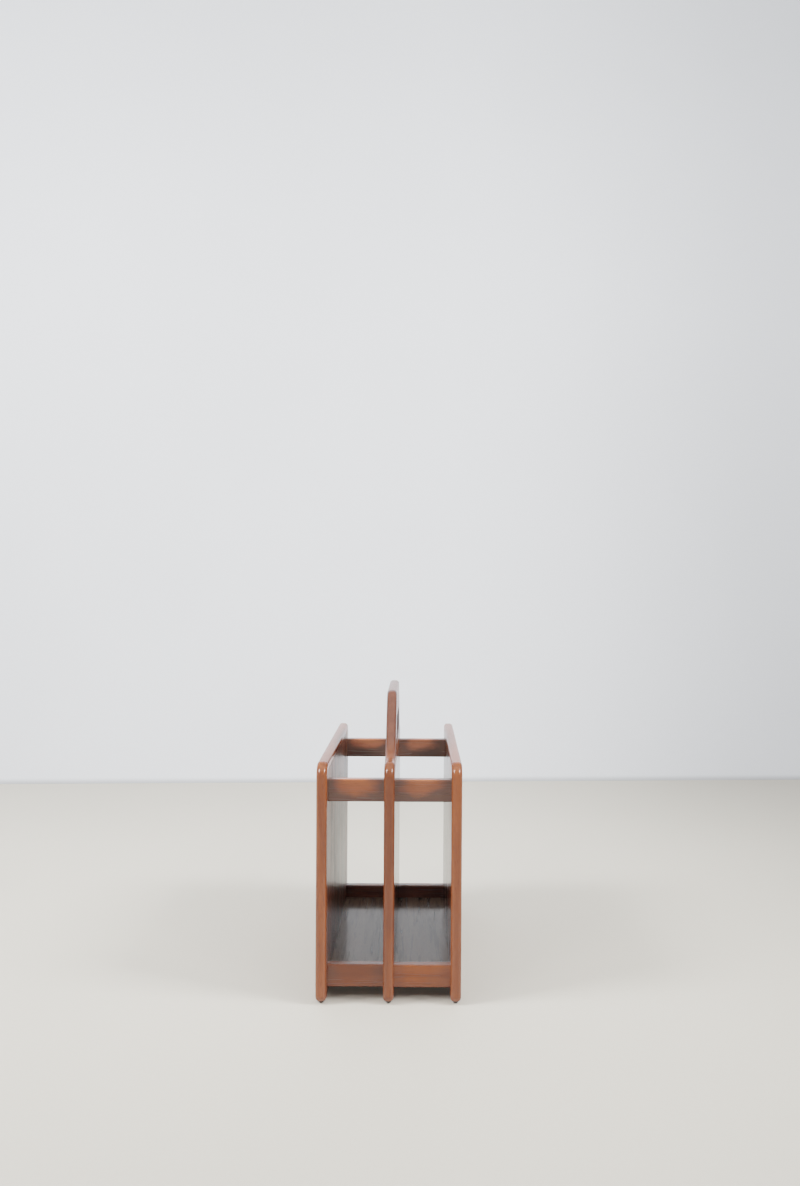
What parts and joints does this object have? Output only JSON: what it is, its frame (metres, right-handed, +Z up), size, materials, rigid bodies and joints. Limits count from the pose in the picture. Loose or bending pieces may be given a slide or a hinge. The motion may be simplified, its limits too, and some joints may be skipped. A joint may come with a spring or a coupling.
{
  "type": "magazine rack",
  "caption": "Freestanding wooden magazine rack: open bays between upright side panels joined by cross rails, with a taller centre divider whose hand hole makes a carrying handle.",
  "frame": {"origin": "on the floor, at the middle of the rack's footprint", "axes": "+X across the bays, towards the right panel as seen from the front; +Y from the front end towards the rear end; +Z up"},
  "size_m": [0.22, 0.44, 0.461],
  "materials": {
    "face_veneer": "satin lacquer, upright grain with dark streaks",
    "solid_edge_wood": "satin lacquer, plain even grain",
    "rail_wood": "satin lacquer, grain along the rail",
    "bottom_board_wood": "satin lacquer, dark streaky grain",
    "core_board": "raw, not seen",
    "dowel_wood": "raw, not seen",
    "glide_metal": "dark satin",
    "nail_steel": "bright, not seen"
  },
  "bodies": {
    "root": {"left_panel_core": "core_board", "left_panel_outer_veneer": "face_veneer", "left_panel_inner_veneer": "face_veneer", "left_panel_front_lipping": "solid_edge_wood", "left_panel_rear_lipping": "solid_edge_wood", "left_panel_top_lipping": "solid_edge_wood", "left_panel_foot_lipping": "solid_edge_wood", "right_panel_core": "core_board", "right_panel_outer_veneer": "face_veneer", "right_panel_inner_veneer": "face_veneer", "right_panel_front_lipping": "solid_edge_wood", "right_panel_rear_lipping": "solid_edge_wood", "right_panel_top_lipping": "solid_edge_wood", "right_panel_foot_lipping": "solid_edge_wood", "centre_panel_core": "core_board", "centre_panel_left_veneer": "face_veneer", "centre_panel_right_veneer": "face_veneer", "centre_panel_front_lipping": "solid_edge_wood", "centre_panel_rear_lipping": "solid_edge_wood", "centre_panel_foot_lipping": "solid_edge_wood", "handle_board": "solid_edge_wood", "handle_tongue": "core_board", "front_top_rail_left": "rail_wood", "front_top_rail_right": "rail_wood", "rear_top_rail_left": "rail_wood", "rear_top_rail_right": "rail_wood", "front_bottom_rail_left": "rail_wood", "front_bottom_rail_right": "rail_wood", "rear_bottom_rail_left": "rail_wood", "rear_bottom_rail_right": "rail_wood", "bottom_board_left": "bottom_board_wood", "bottom_board_right": "bottom_board_wood", "side_dowels": "dowel_wood", "through_dowels": "dowel_wood", "glide_front_left": "glide_metal", "glide_front_centre": "glide_metal", "glide_front_right": "glide_metal", "glide_rear_left": "glide_metal", "glide_rear_centre": "glide_metal", "glide_rear_right": "glide_metal", "glide_nails": "nail_steel"}
  },
  "joints": []
}
